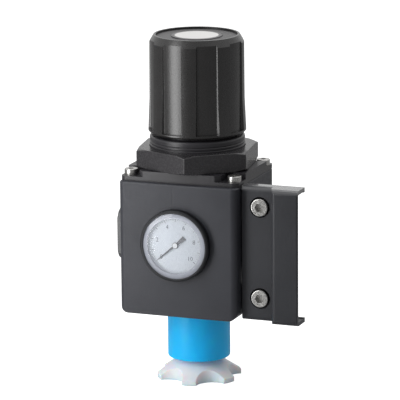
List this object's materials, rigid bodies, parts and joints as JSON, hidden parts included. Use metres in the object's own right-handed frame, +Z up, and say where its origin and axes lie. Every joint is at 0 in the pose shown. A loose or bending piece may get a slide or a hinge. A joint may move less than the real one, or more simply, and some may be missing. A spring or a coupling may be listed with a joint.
{
  "type": "filter regulator",
  "caption": "Compact compressed-air filter regulator with adjusting knob, dial gauge, blue filter bowl, star-shaped drain wheel and a channel bracket at its right side.",
  "frame": {"origin": "middle of the body's back face, on the knob's centre plane", "axes": "+Z up along the knob's axis, front with the gauge towards -Y, outlet port towards +X"},
  "size_m": [0.0986, 0.0646, 0.1749],
  "materials": {
    "body_casting": "satin dark grey coating on die-cast aluminium",
    "port_metal": "dark coated metal",
    "bonnet_plastic": "fine-grained black plastic",
    "nut_plastic": "dark grey plastic, satin",
    "knob_plastic": "polished black plastic",
    "ring_plastic": "smooth mid grey plastic",
    "cap_metal": "brushed silver disc",
    "screw_steel": "zinc plated",
    "spring_steel": "drawn wire",
    "spindle_steel": "machined",
    "inner_brass": "machined",
    "inner_aluminium": "pressed sheet",
    "inner_plastic": "moulded",
    "filter_sinter": "sintered, porous",
    "rubber": "moulded rubber",
    "bowl_blue": "translucent blue plastic",
    "wheel_plastic": "cloudy translucent grey plastic",
    "needle_metal": "turned",
    "gauge_black": "moulded black plastic",
    "gauge_window": "clear",
    "dial_paint": "pale blue-white print ground",
    "pointer_metal": "dark lacquer",
    "bracket_casting": "satin dark grey coating",
    "carrier_metal": "dark coating"
  },
  "bodies": {
    "regulator": {"body": "body_casting", "inlet_port_insert": "port_metal", "outlet_port_insert": "port_metal", "bonnet": "bonnet_plastic", "bonnet_screws": "screw_steel", "panel_nut": "nut_plastic", "diaphragm": "rubber", "main_spring": "spring_steel", "valve_spring": "spring_steel", "valve_guide": "inner_brass", "swirl_plate": "inner_plastic", "filter_element": "filter_sinter", "baffle": "inner_plastic", "baffle_nut": "inner_plastic", "bowl": "bowl_blue", "bowl_seal": "rubber", "gauge_case": "gauge_black", "gauge_bezel": "gauge_black", "gauge_lens": "gauge_window", "gauge_dial": "dial_paint", "movement_plate": "inner_brass", "gauge_socket": "inner_brass", "bourdon_tube": "inner_brass", "bracket": "bracket_casting", "bracket_carrier": "carrier_metal", "bracket_screws": "screw_steel", "carrier_screws": "screw_steel"},
    "spindle": {"adjusting_spindle": "spindle_steel"},
    "knob": {"knob": "knob_plastic", "knob_ring": "ring_plastic", "knob_cap": "cap_metal"},
    "spring_nut": {"spring_nut": "inner_brass"},
    "diaphragm_group": {"diaphragm_plate": "inner_aluminium", "relief_seat": "inner_brass", "plate_nut": "screw_steel"},
    "valve": {"valve_stem": "inner_brass", "valve_disc": "inner_brass", "valve_seal": "rubber"},
    "pointer": {"gauge_pointer": "pointer_metal"},
    "sector": {"gauge_sector": "inner_brass"},
    "needle": {"drain_needle": "needle_metal"},
    "wheel": {"drain_wheel": "wheel_plastic"}
  },
  "joints": [
    {"name": "knob_turn", "type": "hinge", "parent": "regulator", "child": "spindle", "pos_m": [0, -0.026, 0.088], "axis": [0, 0, 1], "range_deg": [-2880, 0]},
    {"name": "knob_pull", "type": "slide", "parent": "spindle", "child": "knob", "axis": [0, 0, 1], "range_m": [0, 0.0025]},
    {"name": "spring_nut_slide", "type": "slide", "parent": "regulator", "child": "spring_nut", "axis": [0, 0, 1], "range_m": [-0.0101, 0.0001], "deforming": ["main_spring"]},
    {"name": "diaphragm_slide", "type": "slide", "parent": "regulator", "child": "diaphragm_group", "axis": [0, 0, 1], "range_m": [-0.002, 0], "stiffness_N_per_m": 1500, "springref_m": 0.001, "deforming": ["diaphragm"]},
    {"name": "valve_slide", "type": "slide", "parent": "regulator", "child": "valve", "axis": [0, 0, 1], "range_m": [-0.0021, 0.0001], "deforming": ["valve_spring"]},
    {"name": "pointer_turn", "type": "hinge", "parent": "regulator", "child": "pointer", "pos_m": [-0.0005, -0.0565, 0.003], "axis": [0, 1, 0], "range_deg": [0, 260]},
    {"name": "sector_turn", "type": "hinge", "parent": "regulator", "child": "sector", "pos_m": [-0.0005, -0.054, -0.00508], "axis": [0, 1, 0], "range_deg": [-47, 1]},
    {"name": "drain_needle_slide", "type": "slide", "parent": "regulator", "child": "needle", "axis": [0, 0, -1], "range_m": [-0.0001, 0.0016]},
    {"name": "drain_wheel_turn", "type": "hinge", "parent": "needle", "child": "wheel", "pos_m": [0, -0.026, -0.066], "axis": [0, 0, 1], "range_deg": [-360, 0]}
  ],
  "couplings": [
    {"joint": "spring_nut_slide", "follows": "knob_turn", "m_per_rad": 0.00019894},
    {"joint": "valve_slide", "follows": "diaphragm_slide", "ratio": 1},
    {"joint": "sector_turn", "follows": "pointer_turn", "ratio": -0.17647},
    {"joint": "drain_needle_slide", "follows": "drain_wheel_turn", "m_per_rad": -0.00023873}
  ]
}
